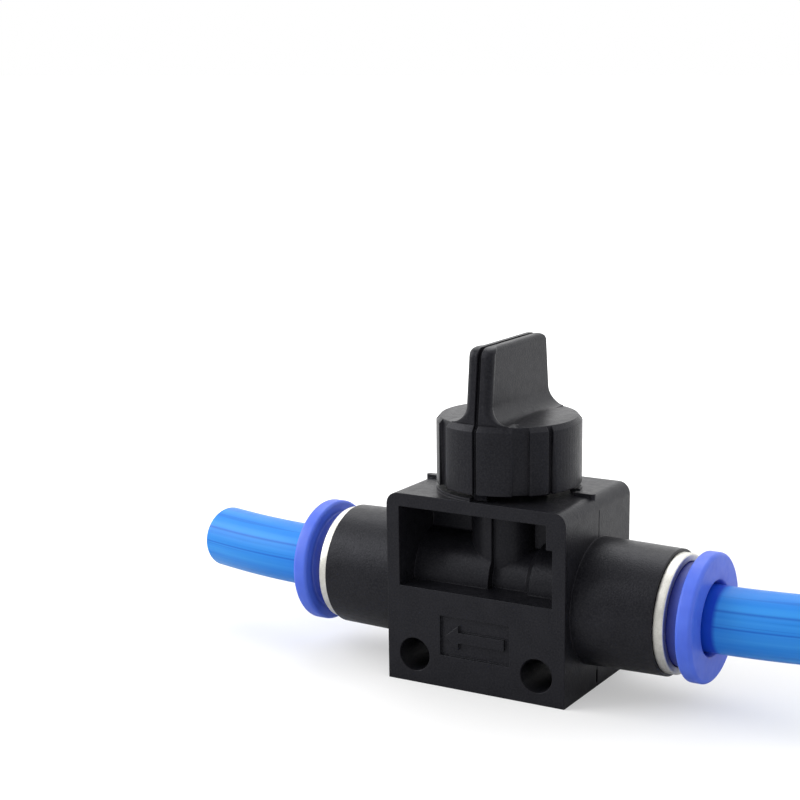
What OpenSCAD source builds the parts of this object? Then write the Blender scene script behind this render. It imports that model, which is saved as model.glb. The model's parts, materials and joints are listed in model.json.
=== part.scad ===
// Hand valve for compressed air with a push-in tube connector on each side.
// Origin: middle of the underside. +X runs along the flow, -Y is the front face, +Z is up.
// The knob is drawn in the closed position, with its pointer to the front.

/* [Body] */
// Width of the block along the flow
body_w = 24; // [23.5:0.1:30]
// Depth of the block from front to back
body_d = 18; // [17.8:0.1:24]
// Height of the block
body_h = 23.6; // [23:0.1:28]
// Radius of the two upper long edges of the block
body_edge_r = 1.5; // [0.5:0.1:2]
// Height of the flow line above the underside
port_z = 10.95; // [9.8:0.05:11.5]

/* [Mounting holes] */
// Distance between the two mounting holes
mount_pitch = 16.6; // [15:0.1:17.6]
// Diameter of each mounting hole
mount_hole_d = 4.2; // [3.2:0.1:4.6]
// Height of the mounting holes above the underside
mount_hole_z = 3.55; // [3:0.05:4.5]

/* [Window] */
// Thickness of the side walls beside each window
window_wall = 1.7; // [1:0.1:2.5]
// Thickness of the top plate above each window
window_roof = 1.6; // [1.2:0.1:2.2]
// Height of the window sill above the underside
window_sill = 12.1; // [11.6:0.1:13]
// Thickness of the web between the front and the back window
window_web = 1.5; // [1:0.1:2.5]
// Width of the small corner block in the window
window_block_w = 0.8; // [0.4:0.1:1.4]
// Height of the small corner block in the window
window_block_h = 2.9; // [1.5:0.1:4]
// Depth of the small corner block in the window
window_block_depth = 2; // [1:0.1:4]

/* [Flow housing in the window] */
// Radius of the flow housing on the outlet side
housing_left_r = 5.6; // [5:0.1:6.2]
// Radius of the flow housing on the inlet side
housing_right_r = 4.5; // [4.3:0.1:5]
// Radius of the rotor housing on the outlet side
boss_left_r = 4.6; // [4.4:0.1:5.6]
// Radius of the rotor housing on the inlet side
boss_right_r = 4; // [4:0.1:4.8]
// Radius of the collar where the inlet side housing meets the wall
collar_r = 5.5; // [5.2:0.1:6]
// Length of that collar
collar_len = 4.8; // [3:0.1:5.5]

/* [Arrow panel] */
// Width of the sunk panel
panel_w = 9.4; // [8:0.1:10]
// Height of the sunk panel
panel_h = 5; // [4:0.1:5.6]
// Height of the middle of the panel above the underside
panel_z = 6.55; // [6:0.05:7.5]
// Depth of the sunk panel
panel_depth = 0.35; // [0.1:0.05:0.8]
// Length of the raised arrow
arrow_len = 8; // [5:0.1:8]
// Width of the arrow head
arrow_head_w = 3; // [2:0.1:4]
// Length of the arrow head
arrow_head_len = 1.8; // [1:0.1:3]
// Width of the arrow shaft
arrow_shaft_w = 1.35; // [0.6:0.05:2]

/* [Ports] */
// Diameter of the round port where it leaves the block
port_root_d = 15.6; // [15.2:0.1:17]
// Diameter of the round port at its end
port_end_d = 15.15; // [14.9:0.05:15.5]
// Length of the round port outside the block
port_len = 10.1; // [9.8:0.1:13]

/* [Tube] */
// Outer diameter of the tube
tube_od = 8; // [7.8:0.05:8.05]
// Inner diameter of the tube
tube_id = 5; // [4:0.1:6]
// Radius of the gentle bend of the tube at its middle
tube_bend_r = 65; // [50:1:90]
// Angle of the bend
tube_bend_angle = 14; // [10:1:25]
// Straight length after the bend
tube_tail = 3; // [2:0.5:10]

/* [Push-in connector] */
// Diameter of the metal ring outside the port
ring_flange_d = 14.4; // [14:0.1:15]
// Width of the metal ring outside the port
ring_flange_w = 1.3; // [1:0.1:2]
// Depth of the metal ring inside the port
ring_depth = 6.7; // [6.2:0.1:7]
// Diameter of the metal ring inside the port
ring_skirt_d = 13.6; // [13.4:0.05:13.8]
// Travel of the release collet
collet_travel = 1.5; // [0.8:0.05:1.6]
// Diameter of the release flange
collet_flange_d = 15.5; // [15:0.1:17]
// Thickness of the release flange
collet_flange_w = 2; // [1.8:0.1:3]
// Radius of the outer edge of the release flange
collet_edge_r = 0.5; // [0.3:0.1:0.9]
// Diameter of the collet neck inside the metal ring
collet_neck_d = 12.4; // [12:0.05:12.5]
// Diameter of the thin collet sleeve
collet_sleeve_d = 10.4; // [10:0.05:10.5]
// Height of the barbs on the collet sleeve
collet_barb = 0.55; // [0.3:0.05:0.6]
// Number of slits in the collet sleeve
collet_slits = 4; // [2:1:6]
// Width of each slit
collet_slit_w = 1; // [0.6:0.1:1.5]
// Thickness of the gripping claws
claw_t = 0.3; // [0.2:0.05:0.4]
// Number of gripping claws
claw_count = 12; // [8:1:14]
// Width of the slit between two claws
claw_slit_w = 0.45; // [0.3:0.05:0.6]
// Diameter of the tube seal
seal_d = 11.7; // [11:0.1:12]
// Width of the tube seal
seal_w = 1.7; // [1.4:0.1:2]
// Thickness of the backing ring between seal and claws
backer_t = 0.6; // [0.4:0.1:0.8]
// Depth of the tube bore behind the seal
tube_grip = 3.3; // [2.5:0.1:3.6]

/* [Rotor] */
// Diameter of the rotor
rotor_d = 6.6; // [6:0.1:6.8]
// Height of the lower end of the rotor above the underside
rotor_bottom = 0.8; // [0.4:0.1:1.2]
// Height of the rotor shoulder above the underside
rotor_shoulder = 19.6; // [19.2:0.1:20]
// Diameter of the flow bore
flow_d = 3.6; // [2.8:0.1:3.8]
// Diameter of the rotor stem
stem_d = 4.6; // [4.2:0.1:5]
// Side of the square drive on the stem
stem_square = 3.2; // [2.6:0.1:3.2]
// Length of the square drive
stem_square_len = 3.9; // [3:0.1:4.2]
// Thickness of the rotor rings
o_ring_t = 1.08; // [0.9:0.02:1.2]
// Height of the lower rotor ring above the underside
o_ring_low_z = 4.6; // [4:0.1:5.2]
// Height of the upper rotor ring above the underside
o_ring_high_z = 17.2; // [16.4:0.1:17.8]
// Diameter of the vent bore up the rotor
vent_d = 1.6; // [1:0.1:2]
// Width of the vent slot on the rotor
vent_slot_w = 0.9; // [0.6:0.1:1.2]
// Depth of the vent slot on the rotor
vent_slot_depth = 0.5; // [0.3:0.05:0.7]

/* [Seats and bushes] */
// Outer diameter of each rotor seat
seat_d = 5.5; // [5.1:0.1:5.9]
// Distance from the middle of the valve to the back of each seat
seat_reach = 5; // [4.6:0.1:5.4]
// Outer diameter of each flow bush
bush_d = 6.8; // [6.4:0.1:7]
// Bore of each flow bush
bush_bore_d = 3.8; // [3:0.1:4.4]
// Thickness of the flange that stops the tube
bush_flange_t = 0.75; // [0.5:0.05:1]

/* [Knob] */
// Diameter of the knob skirt
knob_d = 17.6; // [17.2:0.1:18]
// Height of the lower edge of the skirt above the top plate
knob_lift = 0.9; // [0.7:0.1:1.2]
// Height of the skirt up to its chamfer
skirt_h = 7.5; // [6.8:0.1:8]
// Width of the chamfer on top of the skirt
skirt_chamfer_w = 0.5; // [0.3:0.1:0.8]
// Height of the chamfer on top of the skirt
skirt_chamfer_h = 0.6; // [0.4:0.1:1]
// Rise of the shoulder from the chamfer to the blade
shoulder_rise = 0.2; // [0.2:0.1:0.8]
// Wall thickness of the skirt
skirt_wall = 1.3; // [1:0.1:1.6]
// Thickness of the web under the shoulder
knob_roof = 1.9; // [1.5:0.1:2.2]
// Diameter of the hub inside the knob
knob_hub_d = 8.4; // [7.6:0.1:9]
// Number of ribs inside the knob
knob_ribs = 6; // [3:1:8]
// Thickness of each rib
knob_rib_t = 0.9; // [0.6:0.1:1.2]
// Height of the blade above the shoulder
blade_h = 8.8; // [7:0.1:10]
// Length of the blade at its foot
blade_foot_len = 16.8; // [15.6:0.1:16.8]
// Length of the blade at its top
blade_top_len = 15; // [13:0.1:15.5]
// Thickness of the blade
blade_t = 3.3; // [2.6:0.1:3.6]
// Radius of the two top corners of the blade
blade_corner_r = 1.3; // [0.8:0.1:2]
// Radius of the hollow blend between blade and shoulder
blade_blend_r = 2.2; // [1.5:0.1:3]
// Depth of the finger hollow in each side of the blade
finger_depth = 0.3; // [0.1:0.05:0.5]
// Length of the full thickness column at the pointer end of the blade
column_len = 2.4; // [1.5:0.1:4]
// Width of the pointer groove
groove_w = 0.55; // [0.3:0.05:0.8]
// Depth of the pointer groove
groove_depth = 0.5; // [0.2:0.05:0.8]
// Depth of the grip recesses in the skirt
flute_depth = 0.45; // [0.2:0.05:0.7]
// Start angle of each wide grip recess from the pointer line
wide_flute_from = 30; // [24:1:34]
// Width of each wide grip recess in degrees
wide_flute_angle = 13.5; // [8:0.5:18]
// Start angle of each narrow grip recess from the pointer line
narrow_flute_from = 59; // [56:1:66]
// Width of each narrow grip recess in degrees
narrow_flute_angle = 4.5; // [3:0.5:9]

/* [Stop and marks] */
// Turn of the knob from closed to open in degrees
knob_turn = 90; // [60:1:100]
// Outer diameter of the stop rim on the top plate
rim_d = 17.7; // [17:0.1:17.7]
// Width of the stop rim
rim_w = 1.2; // [0.8:0.1:1.5]
// Height of the stop rim and of the marks
rim_h = 0.4; // [0.3:0.05:0.5]
// Width of the stop lug under the skirt in degrees
lug_angle = 12; // [8:1:20]
// Length of each position mark
mark_len = 2.2; // [1.2:0.1:2.4]
// Width of each position mark
mark_w = 0.9; // [0.6:0.1:1.4]
// Diameter of the hub on the top plate
hub_d = 9.2; // [8:0.1:10]
// Height of the hub on the top plate
hub_h = 1.3; // [1:0.1:1.5]
// Thickness of the thrust washer
washer_t = 0.5; // [0.3:0.05:0.6]

/* [Hidden] */
$fn = 96;

LEFT = -1;
RIGHT = 1;
over = 1;                     // how far a cut runs past the face it opens
seat_gap = 0.05;              // clearance between pieces that rest in one another
run_gap = 0.05;               // radial clearance of turning and sliding pieces
stop_gap = 0.1;               // clearance left at the end of a travel
stop_gap_angle = 1;           // the same for the turning stop, in degrees

half_w = body_w / 2;
half_d = body_d / 2;
tube_r = tube_od / 2;
tube_hole_r = tube_r + 2 * seat_gap;

claw_room = 0.75;             // room for the claws to lean into
chamber_len = 3.4;            // length of the chamber for the barbs in the metal ring
lip_w = 1.2;                  // width of the inner lip of the metal ring
barb_gap = 0.15;              // from the barbs to that lip
barb_len = 0.7;               // length of the step behind each barb
nose_step = 0.3;              // how far the nose of the sleeve is drawn in
barb_room = 0.2;              // radial room around the barbs
collet_gap = 0.15;            // radial room around the tube in the collet
bend_inset = 1;               // how far inside the collet the bend of the tube starts

// Stations along +X, measured from the middle of the valve
port_end = half_w + port_len;
ring_end = port_end + ring_flange_w;
flange_start = ring_end + collet_travel + stop_gap;
flange_end = flange_start + collet_flange_w;
ring_start = port_end - ring_depth;
ring_shoulder = ring_start - claw_t - 2 * seat_gap;
backer_end = ring_shoulder - claw_room;
seal_end = backer_end - backer_t - seat_gap;
seal_floor = seal_end - seal_w - seat_gap;
bush_end = seal_floor - tube_grip + bush_flange_t;
tube_start = bush_end + seat_gap;
lip_start = ring_start + chamber_len;
lip_end = lip_start + lip_w;
neck_start = lip_end + collet_travel + stop_gap;
barb_end = lip_start - barb_gap;
nose = ring_start + collet_travel - seat_gap;

// Radii of the connector pieces
neck_r = collet_neck_d / 2;
sleeve_r = collet_sleeve_d / 2;
barb_r = sleeve_r + collet_barb;
collet_bore_r = tube_r + collet_gap;
ring_bore_r = neck_r + run_gap;
lip_r = sleeve_r + 2 * run_gap;
chamber_r = barb_r + barb_room;
skirt_r = ring_skirt_d / 2;
ring_pocket_r = skirt_r + seat_gap / 2;
seal_pocket_r = seal_d / 2 + seat_gap;
claw_root_r = chamber_r + seat_gap;

// Rotor and its housing
rotor_r = rotor_d / 2;
rotor_hole_r = rotor_r + run_gap;
stem_r = stem_d / 2;
stem_hole_r = stem_r + run_gap;
hub_top = body_h + hub_h;
washer_low = hub_top + seat_gap;
washer_high = washer_low + washer_t;
knob_hub_low = washer_high + seat_gap;
square_top = knob_hub_low + stem_square_len;
o_ring_gap = 0.03;
o_ring_mid_r = rotor_hole_r - o_ring_gap - o_ring_t / 2;
o_ring_groove_r = o_ring_mid_r - o_ring_t / 2 - o_ring_gap;
vent_margin = 0.5;            // from the seat down to the middle of the vent
snap_depth = 0.25;            // groove on the square drive that the knob snaps into
snap_h = 0.6;
snap_lift = 2.2;
snap_z = knob_hub_low + snap_lift;

// Knob levels
knob_r = knob_d / 2;
knob_low = body_h + knob_lift;
skirt_top = knob_low + skirt_h;
shoulder_low = skirt_top + skirt_chamfer_h;
shoulder_high = shoulder_low + shoulder_rise;
blade_top = shoulder_high + blade_h;
shoulder_r = knob_r - skirt_chamfer_w;
cavity_r = knob_r - skirt_wall;
cavity_top = shoulder_low - knob_roof;
blade_sink = 0.4;             // how far the blade reaches down into the shoulder
blend_sink = 0.1;             // how far its blend starts below the top of the shoulder
blade_foot_z = shoulder_low - blade_sink;
blend_x = blade_t / 2 + blade_blend_r;
blend_z = shoulder_high - blend_sink + blade_blend_r;
finger_end_r = 1;             // radius where the finger hollow runs out at the column
lug_inset = 0.6;              // how far the stop lug stays inside the skirt
tube_lap = 0.5;               // how far the straight stretches of the tube reach into its bend

// Angles are counted from the pointer line towards +X
pointer = -90;
lug_from = -3;
rim_from = knob_turn + lug_from + lug_angle + stop_gap_angle;
rim_to = 360 + lug_from - stop_gap_angle;
rim_r = rim_d / 2;

plastic_black = [0.14, 0.14, 0.15];
nickel = [0.80, 0.79, 0.76];
release_blue = [0.24, 0.38, 0.86];
tube_blue = [0.24, 0.56, 0.90];

// Places a shape that is drawn along +Z on the flow line of one side
module on_flow_line(side) {
    mirror([side < 0 ? 1 : 0, 0, 0])
        translate([0, 0, port_z])
            rotate([0, 90, 0])
                children();
}

// A plain ring along +Z between two levels
module ring(outer_r, inner_r, low, high) {
    translate([0, 0, low])
        difference() {
            cylinder(r = outer_r, h = high - low);
            translate([0, 0, -over])
                cylinder(r = inner_r, h = high - low + 2 * over);
        }
}

// A sector of a ring about Z, counted from the pointer line
module ring_sector(outer_r, inner_r, low, high, from, to) {
    rotate([0, 0, pointer + from])
        translate([0, 0, low])
            rotate_extrude(angle = to - from)
                translate([inner_r, 0])
                    square([outer_r - inner_r, high - low]);
}

// Front outline of the block, with its two upper corners rounded
module block_outline() {
    translate([-half_w, 0])
        square([body_w, body_h - body_edge_r]);
    translate([body_edge_r - half_w, 0])
        square([body_w - 2 * body_edge_r, body_h]);
    for (side = [LEFT, RIGHT])
        translate([side * (half_w - body_edge_r), body_h - body_edge_r])
            circle(r = body_edge_r);
}

module block() {
    translate([0, half_d, 0])
        rotate([90, 0, 0])
            linear_extrude(height = body_d)
                block_outline();
}

// One window pocket, open towards the front
module window_pocket() {
    pocket_w = body_w - 2 * window_wall;
    pocket_h = body_h - window_roof - window_sill;
    difference() {
        translate([-pocket_w / 2, -half_d - over, window_sill])
            cube([pocket_w, half_d + over - window_web / 2, pocket_h]);
        translate([pocket_w / 2 - window_block_w, -half_d, window_sill + pocket_h - window_block_h])
            cube([window_block_w + over, window_block_depth, window_block_h + over]);
    }
}

// Half of an upright round housing, on one side of the middle plane
module half_boss(r, side) {
    translate([0, 0, window_sill - over])
        rotate([0, 0, side > 0 ? -90 : 90])
            rotate_extrude(angle = 180)
                square([r, body_h - window_roof - window_sill + 2 * over]);
}

// What stands in the windows: the rotor housing and the two flow housings
module inner_housing() {
    inside = half_w - window_wall + over;
    half_boss(boss_left_r, LEFT);
    half_boss(boss_right_r, RIGHT);
    translate([0, 0, window_sill])
        rotate([0, 90, 0]) {
            translate([0, 0, -inside])
                cylinder(r = housing_left_r, h = inside);
            cylinder(r = housing_right_r, h = inside);
            translate([0, 0, inside - over - collar_len])
                cylinder(r = collar_r, h = collar_len + over);
            translate([0, 0, inside - 2 * over - collar_len])
                cylinder(r1 = housing_right_r, r2 = collar_r, h = over);
        }
}

module arrow_outline() {
    tip = -arrow_len / 2;
    neck = tip + arrow_head_len;
    polygon([
        [tip, 0],
        [neck, arrow_head_w / 2],
        [neck, arrow_shaft_w / 2],
        [-tip, arrow_shaft_w / 2],
        [-tip, -arrow_shaft_w / 2],
        [neck, -arrow_shaft_w / 2],
        [neck, -arrow_head_w / 2]
    ]);
}

// Sunk panel on the front with an arrow left standing in it
module arrow_panel_cut() {
    translate([0, panel_depth - half_d, panel_z])
        rotate([90, 0, 0])
            linear_extrude(height = panel_depth + over)
                difference() {
                    square([panel_w, panel_h], center = true);
                    arrow_outline();
                }
}

// Stop rim, position marks and hub on the top plate
module top_details() {
    ring_sector(rim_r, rim_r - rim_w, body_h - over, body_h + rim_h, rim_from, rim_to);
    for (side = [LEFT, RIGHT])
        translate([side * rim_r, -mark_w / 2, body_h - over]) {
            translate([side < 0 ? -mark_len : 0, 0, 0])
                cube([mark_len, mark_w, over + rim_h]);
            translate([side * mark_len, mark_w / 2, 0])
                cylinder(d = mark_w, h = over + rim_h);
        }
    translate([0, 0, body_h - over])
        cylinder(d = hub_d, h = over + hub_h);
}

// Everything that is bored along the flow line of one side
module flow_bores(side) {
    on_flow_line(side) {
        cylinder(d = seat_d + 2 * seat_gap, h = seat_reach + over);
        translate([0, 0, seat_reach])
            cylinder(d = bush_d + 2 * seat_gap, h = bush_end - seat_reach);
        translate([0, 0, bush_end - bush_flange_t])
            cylinder(r = tube_hole_r, h = ring_shoulder - bush_end + bush_flange_t);
        translate([0, 0, seal_floor])
            cylinder(r = seal_pocket_r, h = ring_shoulder - seal_floor + seat_gap);
        translate([0, 0, ring_shoulder])
            cylinder(r = ring_pocket_r, h = port_end - ring_shoulder + over);
    }
}

// Shallow line on the end faces where the two mould halves meet, with a notch near its foot
module mould_lines() {
    line_w = 0.16;
    line_depth = 0.1;
    notch_w = 0.4;
    notch_depth = 0.25;
    notch_h = 1.7;
    notch_lift = 0.45;
    for (side = [LEFT, RIGHT]) {
        translate([side * half_w - line_depth, -line_w / 2, -over])
            cube([2 * line_depth, line_w, body_h - body_edge_r + over]);
        translate([side * half_w - notch_depth, -notch_w / 2, notch_lift])
            cube([2 * notch_depth, notch_w, notch_h]);
    }
}

module valve_body() {
    color(plastic_black)
        difference() {
            union() {
                difference() {
                    block();
                    window_pocket();
                    mirror([0, 1, 0])
                        window_pocket();
                    mould_lines();
                    arrow_panel_cut();
                }
                inner_housing();
                for (side = [LEFT, RIGHT])
                    on_flow_line(side)
                        translate([0, 0, half_w - over])
                            cylinder(d1 = port_root_d, d2 = port_end_d, h = port_len + over);
                top_details();
            }
            for (side = [LEFT, RIGHT]) {
                flow_bores(side);
                translate([side * mount_pitch / 2, half_d + over, mount_hole_z])
                    rotate([90, 0, 0])
                        cylinder(d = mount_hole_d, h = body_d + 2 * over);
            }
            translate([0, 0, -over])
                cylinder(r = rotor_hole_r, h = rotor_shoulder + stop_gap + over);
            cylinder(r = stem_hole_r, h = hub_top + over);
        }
}

// Nickel-plated ring with the flange outside, an inner lip and a chamber for the barbs
module port_ring(side) {
    bevel = 0.2;
    color(nickel)
        on_flow_line(side)
            rotate_extrude()
                polygon([
                    [chamber_r, ring_start],
                    [skirt_r, ring_start],
                    [skirt_r, port_end],
                    [ring_flange_d / 2, port_end],
                    [ring_flange_d / 2, ring_end - bevel],
                    [ring_flange_d / 2 - bevel, ring_end],
                    [ring_bore_r, ring_end],
                    [ring_bore_r, lip_end],
                    [lip_r, lip_end],
                    [lip_r, lip_start],
                    [chamber_r, lip_start]
                ]);
}

// Half section of the release collet: barbed sleeve, neck and rounded flange
module collet_section() {
    mouth = 0.45;
    mouth_len = 0.9;
    flange_r = collet_flange_d / 2;
    difference() {
        union() {
            polygon([
                [collet_bore_r, nose],
                [sleeve_r - nose_step, nose],
                [barb_r, barb_end - barb_len],
                [barb_r, barb_end],
                [sleeve_r, barb_end],
                [sleeve_r, neck_start],
                [neck_r, neck_start],
                [neck_r, flange_start + over],
                [collet_bore_r, flange_start + over]
            ]);
            translate([collet_bore_r, flange_start])
                square([flange_r - collet_edge_r - collet_bore_r, collet_flange_w]);
            translate([collet_bore_r, flange_start])
                square([flange_r - collet_bore_r, collet_flange_w - collet_edge_r]);
            translate([flange_r - collet_edge_r, flange_end - collet_edge_r])
                circle(r = collet_edge_r);
        }
        polygon([
            [collet_bore_r - over, flange_end - mouth_len],
            [collet_bore_r, flange_end - mouth_len],
            [collet_bore_r + mouth, flange_end],
            [collet_bore_r + mouth, flange_end + over],
            [collet_bore_r - over, flange_end + over]
        ]);
    }
}

module collet(side) {
    color(release_blue)
        on_flow_line(side)
            difference() {
                rotate_extrude()
                    collet_section();
                for (i = [0 : collet_slits - 1])
                    rotate([0, 0, (i + 0.5) * 360 / collet_slits])
                        translate([0, -collet_slit_w / 2, nose - over])
                            cube([barb_r + over, collet_slit_w, neck_start - nose]);
            }
}

// Stainless ring of claws that lean inwards and bite on the tube
module claw_ring(side) {
    lean = 0.5;
    root = ring_shoulder + seat_gap;
    tip_r = tube_r + seat_gap;
    color([0.72, 0.73, 0.74])
        on_flow_line(side)
            difference() {
                rotate_extrude()
                    polygon([
                        [tip_r, root - lean],
                        [claw_root_r, root],
                        [skirt_r, root],
                        [skirt_r, root + claw_t],
                        [claw_root_r, root + claw_t],
                        [tip_r, root - lean + claw_t]
                    ]);
                for (i = [0 : claw_count - 1])
                    rotate([0, 0, i * 360 / claw_count])
                        translate([0, -claw_slit_w / 2, root - lean - over])
                            cube([claw_root_r, claw_slit_w, lean + claw_t + 2 * over]);
            }
}

module seal_backer(side) {
    color("gainsboro")
        on_flow_line(side)
            ring(seal_d / 2, tube_r + 3 * seat_gap, backer_end - backer_t, backer_end);
}

// Lip seal with a groove on its pressure side
module tube_seal(side) {
    low = seal_floor + seat_gap;
    inner_r = tube_r + seat_gap;
    outer_r = seal_d / 2;
    mid_r = (inner_r + outer_r) / 2;
    groove = seal_w / 2;
    groove_half_w = 0.35;
    color([0.10, 0.10, 0.10])
        on_flow_line(side)
            rotate_extrude()
                polygon([
                    [inner_r, low],
                    [mid_r - groove_half_w, low],
                    [mid_r, low + groove],
                    [mid_r + groove_half_w, low],
                    [outer_r, low],
                    [outer_r, seal_end],
                    [inner_r, seal_end]
                ]);
}

// Bush that holds the seat to the rotor and stops the tube
module flow_bush(side) {
    low = seat_reach + seat_gap;
    funnel = 1.2;
    color("peru")
        on_flow_line(side)
            rotate_extrude()
                polygon([
                    [bush_bore_d / 2, low],
                    [bush_d / 2, low],
                    [bush_d / 2, bush_end - bush_flange_t],
                    [tube_r, bush_end - bush_flange_t],
                    [tube_r, bush_end],
                    [tube_id / 2, bush_end],
                    [bush_bore_d / 2, bush_end - funnel]
                ]);
}

// Seat with a hollow face that follows the rotor
module seat(side) {
    color([0.93, 0.92, 0.88])
        difference() {
            on_flow_line(side)
                difference() {
                    cylinder(d = seat_d, h = seat_reach);
                    translate([0, 0, -over])
                        cylinder(d = flow_d, h = seat_reach + 2 * over);
                }
            translate([0, 0, port_z - seat_d])
                cylinder(r = rotor_hole_r, h = 2 * seat_d);
        }
}

module o_ring_groove(z) {
    ring(rotor_r + over, o_ring_groove_r, z - o_ring_t / 2 - seat_gap, z + o_ring_t / 2 + seat_gap);
}

// Rotor with its cross bore, vent slot, vent bore, stem and square drive
module rotor() {
    vent_z = port_z - seat_d / 2 - vent_margin;
    slot_low = vent_z - vent_slot_w / 2;
    stem_top = knob_hub_low - seat_gap;
    color("ivory")
        difference() {
            union() {
                translate([0, 0, rotor_bottom])
                    cylinder(r = rotor_r, h = rotor_shoulder - rotor_bottom);
                translate([0, 0, rotor_shoulder - over])
                    cylinder(r = stem_r, h = stem_top - rotor_shoulder + over);
                translate([-stem_square / 2, -stem_square / 2, rotor_shoulder])
                    cube([stem_square, stem_square, square_top - rotor_shoulder]);
            }
            translate([0, rotor_r + over, port_z])
                rotate([90, 0, 0])
                    cylinder(d = flow_d, h = rotor_d + 2 * over);
            o_ring_groove(o_ring_low_z);
            o_ring_groove(o_ring_high_z);
            translate([0, 0, rotor_bottom - over])
                cylinder(d = vent_d, h = vent_z + vent_d / 2 - rotor_bottom + over);
            translate([0, 0, vent_z])
                rotate([0, -90, 0])
                    cylinder(d = vent_slot_w, h = rotor_r + over);
            translate([-rotor_r - over, -vent_slot_w / 2, slot_low])
                cube([over + vent_slot_depth, vent_slot_w, port_z - slot_low]);
            for (side = [LEFT, RIGHT])
                translate([side * stem_square / 2 - snap_depth, -stem_square, snap_z - snap_h / 2])
                    cube([2 * snap_depth, 2 * stem_square, snap_h]);
        }
}

module rotor_o_ring(z) {
    color([0.08, 0.08, 0.08])
        translate([0, 0, z])
            rotate_extrude()
                translate([o_ring_mid_r, 0])
                    circle(d = o_ring_t, $fn = 48);
}

module thrust_washer() {
    color("white")
        ring(hub_d / 2, stem_hole_r, washer_low, washer_high);
}

// Outline of the broad side of the blade, drawn inset by a given margin
module blade_side_outline(inset) {
    foot = blade_foot_len / 2 - inset;
    top = blade_top_len / 2 - inset;
    peak = blade_top - inset;
    r = blade_corner_r;
    polygon([
        [-foot, blade_foot_z],
        [foot, blade_foot_z],
        [top, peak - r],
        [top - r, peak - r],
        [top - r, peak],
        [r - top, peak],
        [r - top, peak - r],
        [-top, peak - r]
    ]);
    for (end = [-1, 1])
        translate([end * (top - r), peak - r])
            circle(r = r);
}

// Outline of the blade seen from its end, with a hollow blend at each foot.
// Both flanks are drawn in by the given amount.
module blade_end_outline(drawn_in) {
    flank = blade_t / 2 - drawn_in;
    root = flank + blade_blend_r;
    edge_r = 0.6;
    translate([-flank, blade_foot_z])
        square([2 * flank, blade_top - edge_r - blade_foot_z]);
    translate([edge_r - flank, blade_top - 2 * edge_r])
        square([2 * (flank - edge_r), 2 * edge_r]);
    for (end = [-1, 1])
        translate([end * (flank - edge_r), blade_top - edge_r])
            circle(r = edge_r);
    difference() {
        translate([-root, blade_foot_z])
            square([2 * root, blend_z - blade_foot_z]);
        for (end = [-1, 1])
            translate([end * root, blend_z])
                circle(r = blade_blend_r);
    }
}

// The end outline of the blade drawn out along Y between two stations
module blade_bar(drawn_in, from, to) {
    translate([0, to, 0])
        rotate([90, 0, 0])
            linear_extrude(height = to - from)
                blade_end_outline(drawn_in);
}

// Full thickness column at the pointer end, hollowed round towards the finger hollows
module pointer_column() {
    column_end = column_len - blade_top_len / 2;
    hollow_x = blade_t / 2 - finger_depth + finger_end_r;
    difference() {
        blade_bar(0, -knob_r, column_end);
        for (end = [-1, 1])
            translate([end * hollow_x, column_end, blade_foot_z - over])
                cylinder(r = finger_end_r, h = blade_top - blade_foot_z + 2 * over);
    }
}

module blade() {
    intersection() {
        translate([-knob_r, 0, 0])
            rotate([90, 0, 90])
                linear_extrude(height = 2 * knob_r)
                    blade_side_outline(0);
        union() {
            blade_bar(finger_depth, -knob_r, knob_r);
            pointer_column();
        }
        translate([0, 0, skirt_top])
            cylinder(r = shoulder_r, h = blade_top - skirt_top + over);
    }
}

// Groove over the blade and down the pointer side to the lower edge of the skirt
module pointer_groove() {
    skirt_floor = knob_r - groove_depth;
    shoulder_floor = shoulder_r - groove_depth;
    translate([-groove_w / 2, 0, 0])
        rotate([90, 0, 90])
            linear_extrude(height = groove_w)
                difference() {
                    translate([-knob_r - over, knob_low - over])
                        square([2 * (knob_r + over), blade_top - knob_low + 2 * over]);
                    blade_side_outline(groove_depth);
                    polygon([
                        [-skirt_floor, knob_low - 2 * over],
                        [-skirt_floor, skirt_top],
                        [-shoulder_floor, shoulder_low],
                        [0, shoulder_low],
                        [0, knob_low - 2 * over]
                    ]);
                    translate([0, knob_low - 2 * over])
                        square([knob_r + 2 * over, blade_top - groove_depth - knob_low + 2 * over]);
                }
}

// Grip recesses in the skirt, the same on all four quarters
module flutes() {
    deep = knob_r - flute_depth;
    for (turn = [0, 180])
        for (flip = [0, 1])
            rotate([0, 0, turn])
                mirror([flip, 0, 0]) {
                    ring_sector(knob_r + over, deep, knob_low - over, shoulder_high,
                        wide_flute_from, wide_flute_from + wide_flute_angle);
                    ring_sector(knob_r + over, deep, knob_low - over, shoulder_high,
                        narrow_flute_from, narrow_flute_from + narrow_flute_angle);
                }
}

// Hollow underside of the knob with its hub, ribs and square socket
module knob_cavity() {
    socket = stem_square / 2 + seat_gap;
    rib_lift = 1.5;
    difference() {
        translate([0, 0, knob_low - over])
            cylinder(r = cavity_r, h = cavity_top - knob_low + over);
        translate([0, 0, knob_hub_low])
            cylinder(d = knob_hub_d, h = cavity_top);
        for (i = [0 : knob_ribs - 1])
            rotate([0, 0, (i + 0.5) * 360 / knob_ribs])
                translate([0, -knob_rib_t / 2, knob_hub_low + rib_lift])
                    cube([knob_r, knob_rib_t, cavity_top]);
    }
    difference() {
        translate([-socket, -socket, knob_hub_low - over])
            cube([2 * socket, 2 * socket, square_top + stop_gap - knob_hub_low + over]);
        for (side = [LEFT, RIGHT])
            translate([side * socket - snap_depth / 2, -socket - over, snap_z - snap_h / 2 + seat_gap])
                cube([snap_depth, 2 * (socket + over), snap_h - 2 * seat_gap]);
    }
}

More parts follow.
